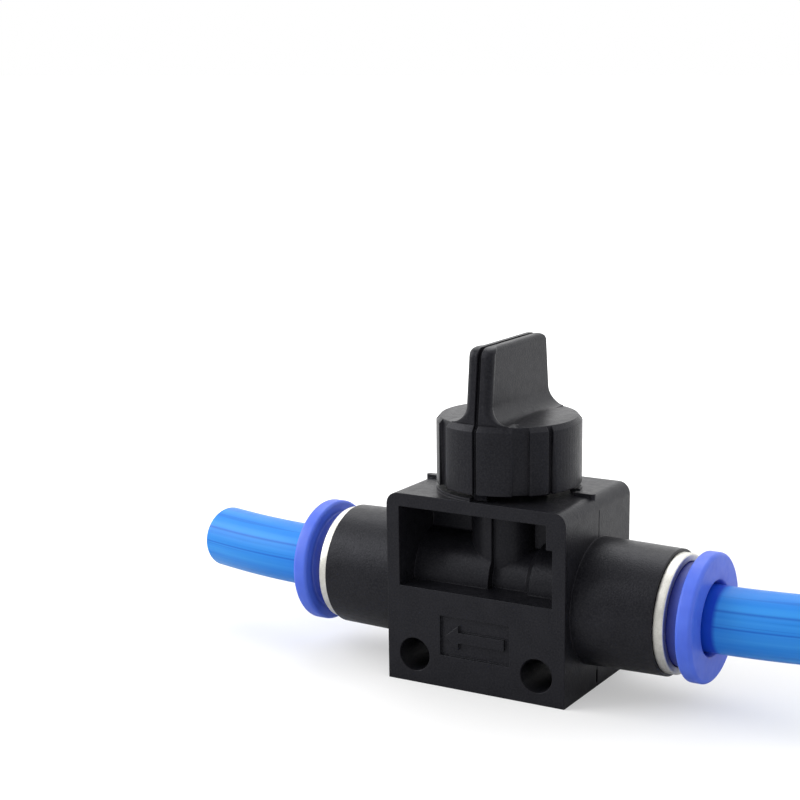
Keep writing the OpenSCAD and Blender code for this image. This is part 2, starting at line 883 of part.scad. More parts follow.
module knob() {
    color(plastic_black) {
        difference() {
            union() {
                translate([0, 0, knob_low])
                    cylinder(r = knob_r, h = skirt_h);
                translate([0, 0, skirt_top])
                    cylinder(r1 = knob_r, r2 = shoulder_r, h = skirt_chamfer_h);
                translate([0, 0, shoulder_low])
                    cylinder(r1 = shoulder_r, r2 = blend_x, h = shoulder_rise);
                blade();
            }
            flutes();
            pointer_groove();
            knob_cavity();
        }
        ring_sector(knob_r - lug_inset, cavity_r + seat_gap, body_h + stop_gap, knob_low + seat_gap,
            lug_from, lug_from + lug_angle);
    }
}

// A round wall section of the tube, thinned by a given amount on both sides
module tube_section(thinned) {
    difference() {
        circle(r = tube_r - thinned);
        circle(r = tube_id / 2 + thinned);
    }
}

// Tube from its stop, straight through the connector, then gently bent to the back.
// The bent stretch is a hair thinner than the straight ones that reach into it.
module tube(side) {
    bend_start = flange_end - bend_inset;
    bend_thinned = 0.02;
    color(tube_blue, 0.7)
        mirror([side < 0 ? 1 : 0, 0, 0]) {
            translate([tube_start, 0, port_z])
                rotate([0, 90, 0])
                    linear_extrude(height = bend_start - tube_start + tube_lap)
                        tube_section(0);
            translate([bend_start, tube_bend_r, port_z]) {
                rotate([0, 0, -90])
                    rotate_extrude(angle = tube_bend_angle)
                        translate([tube_bend_r, 0])
                            tube_section(bend_thinned);
                rotate([0, 0, tube_bend_angle])
                    translate([-tube_lap, -tube_bend_r, 0])
                        rotate([0, 90, 0])
                            linear_extrude(height = tube_tail + tube_lap)
                                tube_section(0);
            }
        }
}

valve_body();
port_ring(LEFT);  // port_ring_left
port_ring(RIGHT);  // port_ring_right
collet(LEFT);  // collet_left
collet(RIGHT);  // collet_right
claw_ring(LEFT);  // claw_ring_left
claw_ring(RIGHT);  // claw_ring_right
seal_backer(LEFT);  // seal_backer_left
seal_backer(RIGHT);  // seal_backer_right
tube_seal(LEFT);  // tube_seal_left
tube_seal(RIGHT);  // tube_seal_right
flow_bush(LEFT);  // flow_bush_left
flow_bush(RIGHT);  // flow_bush_right
seat(LEFT);  // seat_left
seat(RIGHT);  // seat_right
rotor();
rotor_o_ring(o_ring_high_z);  // rotor_o_ring_top
rotor_o_ring(o_ring_low_z);  // rotor_o_ring_bottom
thrust_washer();
knob();
tube(LEFT);  // tube_left
tube(RIGHT);  // tube_right
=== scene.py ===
import json
import math

import bmesh
import bpy
from mathutils import Matrix, Vector


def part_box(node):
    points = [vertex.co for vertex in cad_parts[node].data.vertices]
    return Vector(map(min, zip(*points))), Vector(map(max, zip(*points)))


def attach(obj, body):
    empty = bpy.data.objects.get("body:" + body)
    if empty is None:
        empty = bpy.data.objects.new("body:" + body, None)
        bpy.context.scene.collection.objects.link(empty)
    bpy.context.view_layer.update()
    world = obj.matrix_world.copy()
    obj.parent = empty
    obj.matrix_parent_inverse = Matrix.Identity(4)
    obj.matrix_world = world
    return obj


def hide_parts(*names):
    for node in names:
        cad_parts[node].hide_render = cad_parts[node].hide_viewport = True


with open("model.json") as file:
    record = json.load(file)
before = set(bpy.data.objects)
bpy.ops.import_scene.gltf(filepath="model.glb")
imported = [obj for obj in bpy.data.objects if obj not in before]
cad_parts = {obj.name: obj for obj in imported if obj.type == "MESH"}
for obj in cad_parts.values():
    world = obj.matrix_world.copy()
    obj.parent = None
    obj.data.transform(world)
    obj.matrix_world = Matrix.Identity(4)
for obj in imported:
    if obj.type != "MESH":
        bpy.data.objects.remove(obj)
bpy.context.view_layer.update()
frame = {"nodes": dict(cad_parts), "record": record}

MM = 0.001
nodes = frame["nodes"]
SIDES = {"left": -1, "right": 1}


def along_and_radius(node):
    """First and last station along X of a round node on the flow line, and its radius."""
    low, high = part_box(node)
    return low[0], high[0], (high[2] - low[2]) / 2


# Places read from the frame, in metres
FLOW_Z = (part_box("port_ring_right")[0][2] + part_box("port_ring_right")[1][2]) / 2
COLLET_NOSE, COLLET_FACE, FLANGE_R = along_and_radius("collet_right")
RING_START, RING_END, RING_R = along_and_radius("port_ring_right")
TUBE_START, _, TUBE_R = along_and_radius("tube_right")

# Sizes of the connector pieces, as in the part's source
RING_FLANGE_W = 1.3 * MM
RING_SKIRT_R = 6.8 * MM
RING_BORE_R = 6.25 * MM
RING_CHAMBER_R = 5.95 * MM
RING_CHAMBER_LEN = 3.4 * MM
RING_LIP_R = 5.3 * MM
RING_LIP_W = 1.2 * MM
COLLET_FLANGE_W = 2.0 * MM
COLLET_EDGE_R = 0.5 * MM
COLLET_NECK_R = 6.2 * MM
COLLET_NECK_LEN = 3.4 * MM
COLLET_SLEEVE_R = 5.2 * MM
COLLET_NOSE_STEP = 0.3 * MM
COLLET_BARB_R = 5.75 * MM
COLLET_BARB_LEN = 0.7 * MM
COLLET_BARB_GAP = 0.15 * MM
COLLET_SLITS = 4
COLLET_SLIT_W = 1.0 * MM
COLLET_SLIT_SHORT = 1.0 * MM
COLLET_BORE_R = 4.15 * MM
COLLET_MOUTH_R = 4.6 * MM
COLLET_MOUTH_LEN = 0.9 * MM
TUBE_ID_R = 2.5 * MM
TUBE_TAIL = 3.0 * MM
BEND_START = 26.0 * MM
BEND_R = 65.0 * MM
BEND_ANGLE = math.radians(14.0)

# Edges of the connector pieces that the part's source leaves sharp
RING_SKIRT_EDGE_R = 0.1 * MM
RING_BACK_EDGE_R = 0.12 * MM
RING_FACE_EDGE_R = 0.25 * MM
RING_MOUTH_EDGE_R = 0.12 * MM
COLLET_NECK_EDGE_R = 0.1 * MM
COLLET_NECK_ROOT_R = 0.25 * MM
COLLET_BACK_EDGE_R = 0.4 * MM
COLLET_MOUTH_EDGE_R = 0.25 * MM
TUBE_EDGE_R = 0.15 * MM

# Sizes of the knob's upper part, as in the part's source
SHOULDER_R = 8.3 * MM
SHOULDER_LOW = 32.6 * MM
SHOULDER_HIGH = 32.8 * MM
BLADE_BOTTOM = 32.2 * MM
BLADE_TOP = 41.6 * MM
BLADE_HALF_T = 1.65 * MM
BLADE_FOOT_HALF = 8.4 * MM
BLADE_TOP_HALF = 7.5 * MM
BLADE_CORNER_R = 1.3 * MM
BLADE_EDGE_R = 0.6 * MM
BLEND_R = 2.2 * MM
BLEND_TOP = 34.9 * MM
GROOVE_HALF_W = 0.275 * MM
GROOVE_DEPTH = 0.5 * MM
HOLLOW_DEPTH = 0.3 * MM

# Sizes that only the finer mesh of the blade has. Its hollow starts and is full this far from
# the pointer end, and its foot stays this far inside the rim of the shoulder.
HOLLOW_FROM = 0.85 * MM
HOLLOW_FULL = 1.45 * MM
POINTER_CORNER_R = 0.8 * MM
BACK_CORNER_R = 0.45 * MM
RIM_INSET = 0.005 * MM

# Fineness of the meshes, with the corner angles up to which they are shaded smooth
ROUND_TURNS = 192
TUBE_TURNS = 128
BEND_STEPS = 28
CORNER_STEPS = 6
ARC_STEPS = 12
BLADE_TOP_STEPS = 18
BLADE_FACE_STEPS = 5
BLADE_SIDE_STEPS = 90
SHOULDER_TURNS = 96
SHARP_ANGLE = 35.0
KNOB_SHARP_ANGLE = 17.0
WELD = 1e-4 * MM
BEVEL_SAMPLES = 6

# Cutters: how far they run past what they cut, how far the groove's one reaches below the blade's
# foot, and how far the knob's one stays off the shoulder
OVER = 1.0 * MM
GROOVE_BELOW = 0.1 * MM
HAIR = 0.008 * MM

# Faces of a bar. A corner's number adds up 4 at the far end, 2 outside and 1 on the second flank.
BAR_FACES = ((0, 1, 3, 2), (4, 6, 7, 5), (0, 4, 5, 1), (2, 3, 7, 6), (0, 2, 6, 4), (1, 5, 7, 3))

# Camera, solved from the edges of the block, the ports and the holes in the photograph
IMAGE_PX = 800
SENSOR_MM = 36.0
CAMERA_AZIMUTH = 29.4116
CAMERA_ELEVATION = 14.2694
CAMERA_ROLL = -0.375
FOCAL_PX = 1741.362
OPTICAL_CENTRE_PX = (460.0, 500.0)
AIM = Vector((-6.8832, 0.0, 21.1033)) * MM
CAMERA_DISTANCE = 215.2898 * MM
CAMERA_NEAR = 0.005
CAMERA_FAR = 20.0

# Light: one softbox at the left and one behind overhead. For reflections and soft light, the
# surround is brighter behind and above the object than in front of it. It changes with the Y of
# the direction plus a share of its Z, over a span to both sides of the middle.
KEY_AZIMUTH = -63.0
KEY_ELEVATION = 28.0
KEY_SIZE = 0.42
KEY_POWER = 2.3
TOP_AZIMUTH = -145.0
TOP_ELEVATION = 58.0
TOP_SIZE = 0.36
TOP_POWER = 0.9
LIGHT_DISTANCE = 0.6
LIGHT_AIM = Vector((0.0, 0.0, 0.02))
MIRRORED_FRONT = 0.6
MIRRORED_BACK = 1.4
DIFFUSE_FRONT = 0.85
DIFFUSE_BACK = 1.05
SURROUND_SPAN = 0.45
OVERHEAD_SHARE = 0.3

# Floor: to the camera it glows more with the distance, in reflections only behind the object
FLOOR_HALF = 6.0
FLOOR_DROP = 0.02 * MM
FLOOR_COLOUR = (0.60, 0.60, 0.60)
FLOOR_GLOW_NEAR = 0.36
FLOOR_GLOW_FROM = 0.05
FLOOR_GLOW_FULL = 0.22
FLOOR_MIRRORED_FRONT = 0.0
FLOOR_MIRRORED_BACK = 0.45
FLOOR_MIRRORED_FROM = 0.01
FLOOR_MIRRORED_FULL = 0.09

# Most values of a noise lie between these two
NOISE_LOW = 0.3
NOISE_HIGH = 0.7

# Painted shade, a darker blue, on the collet's neck and on the tube beside the collet: where it
# is full, and where it has faded
NECK_SHADE_FULL_R = COLLET_NECK_R + 0.1 * MM
NECK_SHADE_FADED_R = COLLET_NECK_R + 0.6 * MM
NECK_SHADE_FADED_AT = COLLET_FACE - 0.5 * MM
TUBE_SHADE_FULL_TO = COLLET_FACE + 0.9 * MM
TUBE_SHADE_FADED_AT = COLLET_FACE + 1.5 * MM

# Dark lines along the tube, where the bore shows through its wall: height above the middle
# and half width
TUBE_LINES = ((2.15 * MM, 0.22 * MM), (0.35 * MM, 0.16 * MM))


def direction(azimuth, elevation):
    """Unit vector from the object towards a viewer. Azimuth 0 stands in front, at -Y."""
    a, e = math.radians(azimuth), math.radians(elevation)
    return Vector((math.sin(a) * math.cos(e), -math.cos(a) * math.cos(e), math.sin(e)))


def place_in_scene(name, data):
    """A new object in the scene that shows a mesh, a camera or a light."""
    obj = bpy.data.objects.new(name, data)
    bpy.context.scene.collection.objects.link(obj)
    return obj


def add_camera():
    """The photograph's camera, with its optical centre off the middle of the picture."""
    back = direction(CAMERA_AZIMUTH, CAMERA_ELEVATION)
    a, roll = math.radians(CAMERA_AZIMUTH), math.radians(CAMERA_ROLL)
    level = Vector((math.cos(a), math.sin(a), 0.0))
    upright = back.cross(level)
    right = level * math.cos(roll) + upright * math.sin(roll)
    up = upright * math.cos(roll) - level * math.sin(roll)
    data = bpy.data.cameras.new("camera")
    data.sensor_width = SENSOR_MM
    data.lens = FOCAL_PX * SENSOR_MM / IMAGE_PX
    data.shift_x = 0.5 - OPTICAL_CENTRE_PX[0] / IMAGE_PX
    data.shift_y = OPTICAL_CENTRE_PX[1] / IMAGE_PX - 0.5
    data.clip_start = CAMERA_NEAR
    data.clip_end = CAMERA_FAR
    camera = place_in_scene("camera", data)
    turn = Matrix((right, up, back)).transposed()
    camera.matrix_world = Matrix.Translation(AIM + back * CAMERA_DISTANCE) @ turn.to_4x4()
    bpy.context.scene.camera = camera


class NodeTree:
    """Short ways to add the nodes of a material or of the world, and to join them."""

    def __init__(self, tree):
        self.tree = tree
        tree.nodes.clear()

    def add(self, kind, **settings):
        node = self.tree.nodes.new(kind)
        for key, value in settings.items():
            setattr(node, key, value)
        return node

    def link(self, source, target):
        self.tree.links.new(source, target)

    def give(self, socket, value):
        """Sets a socket to a number or colour, or joins it to another node's output."""
        if isinstance(value, (int, float)):
            socket.default_value = value
        elif isinstance(value, tuple):
            socket.default_value = (*value, 1.0)
        else:
            self.link(value, socket)

    def place(self, kind="Object"):
        """Texture coordinates: those named Object are metres in the row frame."""
        return self.add("ShaderNodeTexCoord").outputs[kind]

    def parts(self, vector):
        node = self.add("ShaderNodeSeparateXYZ")
        self.link(vector, node.inputs["Vector"])
        return node.outputs

    def axis(self, name):
        """One of the object coordinates, in metres."""
        return self.parts(self.place())[name]

    def combined(self, *values):
        node = self.add("ShaderNodeCombineXYZ")
        for socket, value in zip(node.inputs, values):
            self.give(socket, value)
        return node.outputs["Vector"]

    def length(self, vector):
        node = self.add("ShaderNodeVectorMath", operation="LENGTH")
        self.link(vector, node.inputs[0])
        return node.outputs["Value"]

    def stretched(self, scale):
        mapping = self.add("ShaderNodeMapping")
        mapping.inputs["Scale"].default_value = scale
        self.link(self.place(), mapping.inputs["Vector"])
        return mapping.outputs["Vector"]

    def noise(self, grain_mm, detail=2.0, vector=None, roughness=0.5):
        """Noise whose patches are about grain_mm wide."""
        node = self.add("ShaderNodeTexNoise")
        node.inputs["Scale"].default_value = 1.0 / (grain_mm * MM)
        node.inputs["Detail"].default_value = detail
        node.inputs["Roughness"].default_value = roughness
        self.link(vector or self.place(), node.inputs["Vector"])
        return node.outputs["Fac"]

    def math(self, operation, *values):
        node = self.add("ShaderNodeMath", operation=operation)
        for socket, value in zip(node.inputs, values):
            self.give(socket, value)
        return node.outputs["Value"]

    def ramp(self, source, low, high, to_low=0.0, to_high=1.0):
        node = self.add("ShaderNodeMapRange")
        names = ("From Min", "From Max", "To Min", "To Max")
        for socket, value in zip(names, (low, high, to_low, to_high)):
            node.inputs[socket].default_value = value
        self.link(source, node.inputs["Value"])
        return node.outputs["Result"]

    def mix(self, factor, first, second):
        node = self.add("ShaderNodeMix", data_type="RGBA")
        self.give(node.inputs["Factor"], factor)
        colours = [s for s in node.inputs if s.type == "RGBA"]
        for socket, value in zip(colours, (first, second)):
            self.give(socket, value)
        return [s for s in node.outputs if s.type == "RGBA"][0]


class Shader(NodeTree):
    """A material with one Principled BSDF."""

    def __init__(self, name, **constants):
        self.material = bpy.data.materials.new(name)
        self.material.use_nodes = True
        super().__init__(self.material.node_tree)
        self.output = self.add("ShaderNodeOutputMaterial")
        self.bsdf = self.add("ShaderNodeBsdfPrincipled")
        self.link(self.bsdf.outputs["BSDF"], self.output.inputs["Surface"])
        for socket, value in constants.items():
            self.bsdf.inputs[socket.replace("_", " ")].default_value = value

    def feed(self, socket, source):
        self.link(source, self.bsdf.inputs[socket])

    def uneven_roughness(self, grain_mm, low, high):
        patches = self.noise(grain_mm, detail=3.0)
        self.feed("Roughness", self.ramp(patches, NOISE_LOW, NOISE_HIGH, low, high))

    def rounded_normal(self, radius):
        """Normal of edges that are softly rounded in the shading."""
        node = self.add("ShaderNodeBevel", samples=BEVEL_SAMPLES)
        node.inputs["Radius"].default_value = radius
        return node.outputs["Normal"]

    def bump(self, height, depth_mm, strength, normal=None):
        node = self.add("ShaderNodeBump")
        node.inputs["Strength"].default_value = strength
        node.inputs["Distance"].default_value = depth_mm * MM
        self.link(height, node.inputs["Height"])
        if normal is not None:
            self.link(normal, node.inputs["Normal"])
        self.feed("Normal", node.outputs["Normal"])


def black_plastic():
    """Satin black moulded nylon: fine grain, faint mottling, dust and softened edges."""
    s = Shader("black_plastic", Specular_IOR_Level=0.2, Specular_Tint=(0.90, 0.91, 1.0, 1.0))
    deep, usual = (0.0042, 0.0042, 0.0062), (0.0074, 0.0074, 0.0100)
    pale, dust = (0.0175, 0.0175, 0.020), (0.07, 0.07, 0.075)
    colour = s.mix(s.ramp(s.noise(2.4, 3.0), 0.35, 0.7), deep, usual)
    colour = s.mix(s.ramp(s.noise(0.2, 2.0), 0.38, 0.68, 0.0, 0.65), colour, pale)
    specks = s.ramp(s.noise(0.11, 0.0), 0.76, 0.84)
    s.feed("Base Color", s.mix(s.math("MULTIPLY", specks, 0.2), colour, dust))
    s.uneven_roughness(0.9, 0.31, 0.40)
    s.bump(s.noise(0.26, 3.0, roughness=0.7), 0.045, 0.7, s.rounded_normal(0.16 * MM))
    return s.material


def nickel():
    """Nickel plating over turned brass: satin, with grit and fine lines round the ring."""
    s = Shader("nickel", Metallic=1.0)
    dull, clean, gritty = (0.64, 0.63, 0.585), (0.76, 0.75, 0.705), (0.50, 0.49, 0.45)
    colour = s.mix(s.ramp(s.noise(0.7, 4.0), 0.35, 0.7), dull, clean)
    grit = s.ramp(s.noise(0.14, 2.0), 0.45, 0.72, 0.0, 0.45)
    s.feed("Base Color", s.mix(grit, colour, gritty))
    s.uneven_roughness(0.3, 0.36, 0.46)
    s.bump(s.noise(1.0, 3.0, s.stretched((14.0, 0.6, 0.6))), 0.004, 0.6)
    return s.material


def release_blue():
    """Blue moulded acetal, satin and slightly cloudy, with painted shade on the neck behind the
    flange.
    """
    s = Shader("release_blue", Specular_IOR_Level=0.45,
               Subsurface_Weight=0.25, Subsurface_Scale=0.6 * MM)
    s.bsdf.inputs["Subsurface Radius"].default_value = (0.3, 0.5, 1.0)
    cloud = s.ramp(s.noise(3.0, 3.0), NOISE_LOW, NOISE_HIGH)
    colour = s.mix(cloud, (0.054, 0.122, 0.66), (0.074, 0.158, 0.74))
    # Painted shade: the neck between the ring and the flange is darkened where shade falls
    height = s.math("SUBTRACT", s.axis("Z"), FLOW_Z)
    radius = s.length(s.combined(0.0, s.axis("Y"), height))
    inner = s.ramp(radius, NECK_SHADE_FULL_R, NECK_SHADE_FADED_R, 1.0, 0.0)
    along = s.math("ABSOLUTE", s.axis("X"))
    behind = s.ramp(along, RING_END, NECK_SHADE_FADED_AT, 1.0, 0.0)
    neck = s.math("MULTIPLY", inner, behind)
    s.feed("Base Color", s.mix(neck, colour, (0.006, 0.012, 0.17)))
    s.uneven_roughness(0.8, 0.38, 0.5)
    s.bump(s.noise(0.35, 2.0), 0.006, 0.5)
    return s.material


def tube_blue():
    """Translucent blue polyurethane with drawing lines, and painted shade where the collet shades
    it.
    """
    s = Shader("tube_blue", Specular_IOR_Level=0.16, IOR=1.5,
               Subsurface_Weight=0.3, Subsurface_Scale=1.2 * MM)
    s.bsdf.inputs["Subsurface Radius"].default_value = (0.2, 0.6, 1.0)
    along = s.math("ABSOLUTE", s.axis("X"))
    height = s.math("SUBTRACT", s.axis("Z"), FLOW_Z)
    streak = s.noise(1.0, 2.0, s.combined(s.math("MULTIPLY", along, 0.02), 0.0, height))
    fine = s.noise(0.28, 1.0, s.combined(s.math("MULTIPLY", along, 0.01), 0.0, height))
    colour = s.mix(s.ramp(streak, 0.35, 0.65), (0.016, 0.20, 0.67), (0.040, 0.285, 0.74))
    colour = s.mix(s.ramp(fine, 0.62, 0.72, 0.0, 0.45), colour, (0.012, 0.13, 0.52))
    for level, half_width in TUBE_LINES:
        off = s.math("ABSOLUTE", s.math("SUBTRACT", height, level))
        colour = s.mix(s.ramp(off, 0.0, half_width, 0.7, 0.0), colour, (0.008, 0.085, 0.48))
    # Painted shade: a deeper blue on the tube just outside the collet's face
    shade = s.ramp(along, TUBE_SHADE_FULL_TO, TUBE_SHADE_FADED_AT, 1.0, 0.0)
    s.feed("Base Color", s.mix(shade, colour, (0.006, 0.055, 0.48)))
    s.uneven_roughness(0.9, 0.32, 0.42)
    s.bump(s.noise(1.4, 1.0), 0.01, 0.2)
    return s.material


def spring_steel():
    """Bright stainless sheet."""
    s = Shader("spring_steel", Metallic=1.0)
    s.feed("Base Color", s.mix(s.noise(0.8, 3.0), (0.50, 0.51, 0.52), (0.68, 0.69, 0.70)))
    s.uneven_roughness(0.2, 0.22, 0.36)
    s.bump(s.noise(0.1, 2.0), 0.002, 0.4)
    return s.material


def seal_rubber():
    """Matte black rubber."""
    s = Shader("seal_rubber", Specular_IOR_Level=0.4)
    s.feed("Base Color", s.mix(s.noise(0.7, 3.0), (0.010, 0.010, 0.010), (0.022, 0.022, 0.021)))
    s.uneven_roughness(0.3, 0.55, 0.75)
    s.bump(s.noise(0.08, 2.0), 0.006, 0.5)
    return s.material


def white_plastic():
    """Off-white moulded acetal with softened edges."""
    s = Shader("white_plastic", Specular_IOR_Level=0.5)
    s.feed("Base Color", s.mix(s.noise(1.5, 3.0), (0.72, 0.71, 0.66), (0.82, 0.81, 0.77)))
    s.uneven_roughness(0.4, 0.30, 0.42)
    s.bump(s.noise(0.2, 2.0), 0.004, 0.4, s.rounded_normal(0.1 * MM))
    return s.material


def brass():
    """Turned brass with fine lines round the piece."""
    s = Shader("brass", Metallic=1.0)
    s.feed("Base Color", s.mix(s.noise(1.2, 3.0), (0.66, 0.46, 0.18), (0.78, 0.58, 0.28)))
    s.uneven_roughness(0.2, 0.25, 0.40)
    s.bump(s.noise(1.0, 3.0, s.stretched((12.0, 0.6, 0.6))), 0.003, 0.5)
    return s.material


# One material for each slot of the record, made by the function of the same name
MATERIALS = {
    make.__name__: make()
    for make in (black_plastic, nickel, release_blue, tube_blue,
                 spring_steel, seal_rubber, white_plastic, brass)
}


def dress(obj, slot):
    """Gives an object the material of a slot."""
    obj.data.materials.clear()
    obj.data.materials.append(MATERIALS[slot])


def body_of_node(node):
    """Name of the record's body that a node belongs to."""
    bodies = frame["record"]["behaviour"]["bodies"]
    return next(body for body, members in bodies.items() if node in members)


def finish_piece(obj, node, slot):
    """Stands a detailed piece in for its CAD node, riding on the same body."""
    dress(obj, slot)
    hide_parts(node)
    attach(obj, body_of_node(node))


def smooth(mesh, sharp=SHARP_ANGLE):
    """Smooth shading up to a corner angle in degrees."""
    mesh.shade_smooth()
    mesh.set_sharp_from_angle(angle=math.radians(sharp))


def finished_mesh(name, verts, faces):
    """A mesh object with outward normals and smooth shading."""
    mesh = bpy.data.meshes.new(name)
    mesh.from_pydata(verts, [], faces)
    bm = bmesh.new()
    bm.from_mesh(mesh)
    bmesh.ops.recalc_face_normals(bm, faces=bm.faces)
    bm.to_mesh(mesh)
    bm.free()
    smooth(mesh)
    return place_in_scene(name, mesh)


def combined_mesh(obj, other, operation):
    """Applies a boolean with another object, which is then removed."""
    step = obj.modifiers.new("step", "BOOLEAN")
    step.operation = operation
    step.solver = "EXACT"
    step.object = other
    bpy.context.view_layer.update()
    depsgraph = bpy.context.evaluated_depsgraph_get()
    mesh = bpy.data.meshes.new_from_object(obj.evaluated_get(depsgraph))
    obj.modifiers.clear()
    obj.data = mesh
    bpy.data.objects.remove(other)


def rounded(points, radii):
    """An outline with each corner whose radius isn't 0 replaced by an arc."""
    out = []
    count = len(points)
    for i, (corner, r) in enumerate(zip(points, radii)):
        here = Vector(corner)
        if not r:
            out.append(here)
            continue
        back = (Vector(points[i - 1]) - here).normalized()
        ahead = (Vector(points[(i + 1) % count]) - here).normalized()
        half = back.angle(ahead) / 2
        cut = r / math.tan(half)
        centre = here + (back + ahead).normalized() * (r / math.sin(half))
        start, end = here + back * cut - centre, here + ahead * cut - centre
        for step in range(CORNER_STEPS + 1):
            t = step / CORNER_STEPS
            arm = start * (1 - t) + end * t
            out.append(centre + arm.normalized() * r)
    return out


def lathe(name, outline, side):
    """Closed ring about the flow line. The outline holds (distance along X, radius)."""
    verts, faces = [], []
    n = len(outline)
    for k in range(ROUND_TURNS):
        a = 2 * math.pi * k / ROUND_TURNS
        for x, r in outline:
            verts.append((side * x, r * math.cos(a), FLOW_Z + r * math.sin(a)))
    for k in range(ROUND_TURNS):
        m = (k + 1) % ROUND_TURNS
        for i in range(n):
            j = (i + 1) % n
            quad = (k * n + i, k * n + j, m * n + j, m * n + i)
            faces.append(quad if side > 0 else quad[::-1])
    return finished_mesh(name, verts, faces)


def build_port_ring(side_name):
    """Turned ring: flange with softly broken edges, and a skirt with a lip and a chamber."""
    face, port_end = RING_END, RING_END - RING_FLANGE_W
    lip_start = RING_START + RING_CHAMBER_LEN
    lip_end = lip_start + RING_LIP_W
    outline = rounded(
        [(RING_START, RING_CHAMBER_R), (RING_START, RING_SKIRT_R), (port_end, RING_SKIRT_R),
         (port_end, RING_R), (face, RING_R), (face, RING_BORE_R), (lip_end, RING_BORE_R),
         (lip_end, RING_LIP_R), (lip_start, RING_LIP_R), (lip_start, RING_CHAMBER_R)],
        [0, RING_SKIRT_EDGE_R, 0, RING_BACK_EDGE_R, RING_FACE_EDGE_R, RING_MOUTH_EDGE_R,
         0, 0, 0, 0],
    )
    obj = lathe(f"port_ring_{side_name}_turned", outline, SIDES[side_name])
    finish_piece(obj, f"port_ring_{side_name}", "nickel")


def slit_cutter(side, low, high):
    """Bars through the wall of the collet's sleeve, one for each slit."""
    verts, faces = [], []
    for i in range(COLLET_SLITS):
        a = 2 * math.pi * (i + 0.5) / COLLET_SLITS
        outward = Vector((0, math.cos(a), math.sin(a)))
        across = Vector((0, -math.sin(a), math.cos(a)))
        first = len(verts)
        for x in (low, high):
            for r in (COLLET_BORE_R - OVER / 2, COLLET_BARB_R + OVER / 2):
                for w in (-COLLET_SLIT_W / 2, COLLET_SLIT_W / 2):
                    p = outward * r + across * w
                    verts.append((side * x, p.y, FLOW_Z + p.z))
        faces += [tuple(first + corner for corner in face) for face in BAR_FACES]
    return finished_mesh("slits", verts, faces)


def build_collet(side_name):
    """Moulded collet: slit sleeve with its barb, neck, rounded flange and funnel mouth."""
    side = SIDES[side_name]
    face, back = COLLET_FACE, COLLET_FACE - COLLET_FLANGE_W
    neck_start = back - COLLET_NECK_LEN
    barb_end = RING_START + RING_CHAMBER_LEN - COLLET_BARB_GAP
    outline = rounded(
        [(COLLET_NOSE, COLLET_BORE_R), (COLLET_NOSE, COLLET_SLEEVE_R - COLLET_NOSE_STEP),
         (barb_end - COLLET_BARB_LEN, COLLET_BARB_R), (barb_end, COLLET_BARB_R),
         (barb_end, COLLET_SLEEVE_R), (neck_start, COLLET_SLEEVE_R),
         (neck_start, COLLET_NECK_R), (back, COLLET_NECK_R), (back, FLANGE_R),
         (face, FLANGE_R), (face, COLLET_MOUTH_R), (face - COLLET_MOUTH_LEN, COLLET_BORE_R)],
        [0, 0, 0, 0, 0, 0, COLLET_NECK_EDGE_R, COLLET_NECK_ROOT_R, COLLET_BACK_EDGE_R,
         COLLET_EDGE_R, COLLET_MOUTH_EDGE_R, 0],
    )
    obj = lathe(f"collet_{side_name}_moulded", outline, side)
    slits = slit_cutter(side, COLLET_NOSE - OVER, neck_start - COLLET_SLIT_SHORT)
    combined_mesh(obj, slits, "DIFFERENCE")
    smooth(obj.data)
    finish_piece(obj, f"collet_{side_name}", "release_blue")


def heading(angle):
    """Unit vector in plan, at an angle from X."""
    return Vector((math.cos(angle), math.sin(angle), 0))


def tube_route():
    """Stations of the tube: centre and angle, straight first, then bend and tail."""
    route = [(Vector((TUBE_START, 0, 0)), 0.0)]
    for step in range(BEND_STEPS + 1):
        a = BEND_ANGLE * step / BEND_STEPS
        along, aside = BEND_START + BEND_R * math.sin(a), BEND_R * (1 - math.cos(a))
        route.append((Vector((along, aside, 0)), a))
    end, a = route[-1]
    route.append((end + heading(a) * TUBE_TAIL, a))
    return route


def tube_rings():
    """Centre, angle and radius of each ring: out along the wall, back along the bore."""
    route = tube_route()
    (start, first), (end, last) = route[0], route[-1]
    inset = [(start + heading(first) * TUBE_EDGE_R, first), *route[1:-1],
             (end - heading(last) * TUBE_EDGE_R, last)]
    wall = [(centre, a, TUBE_R) for centre, a in inset]
    bore = [(centre, a, TUBE_ID_R) for centre, a in inset[::-1]]
    wall_edge, bore_edge = TUBE_R - TUBE_EDGE_R, TUBE_ID_R + TUBE_EDGE_R
    return [(start, first, wall_edge), *wall, (end, last, wall_edge),
            (end, last, bore_edge), *bore, (start, first, bore_edge)]


def build_tube(side_name):
    """Tube swept along its bend, with cut ends whose edges are slightly rounded."""
    side = SIDES[side_name]
    rings = tube_rings()
    count = len(rings)
    verts, faces = [], []
    for centre, a, radius in rings:
        across = Vector((-math.sin(a), math.cos(a), 0))
        for k in range(TUBE_TURNS):
            t = 2 * math.pi * k / TUBE_TURNS
            point = centre + across * radius * math.cos(t)
            verts.append((side * point.x, point.y, FLOW_Z + radius * math.sin(t)))
    for i in range(count):
        here, ahead = i * TUBE_TURNS, (i + 1) % count * TUBE_TURNS
        for k in range(TUBE_TURNS):
            m = (k + 1) % TUBE_TURNS
            faces.append((here + k, ahead + k, ahead + m, here + m))
    obj = finished_mesh(f"tube_{side_name}_drawn", verts, faces)
    finish_piece(obj, f"tube_{side_name}", "tube_blue")


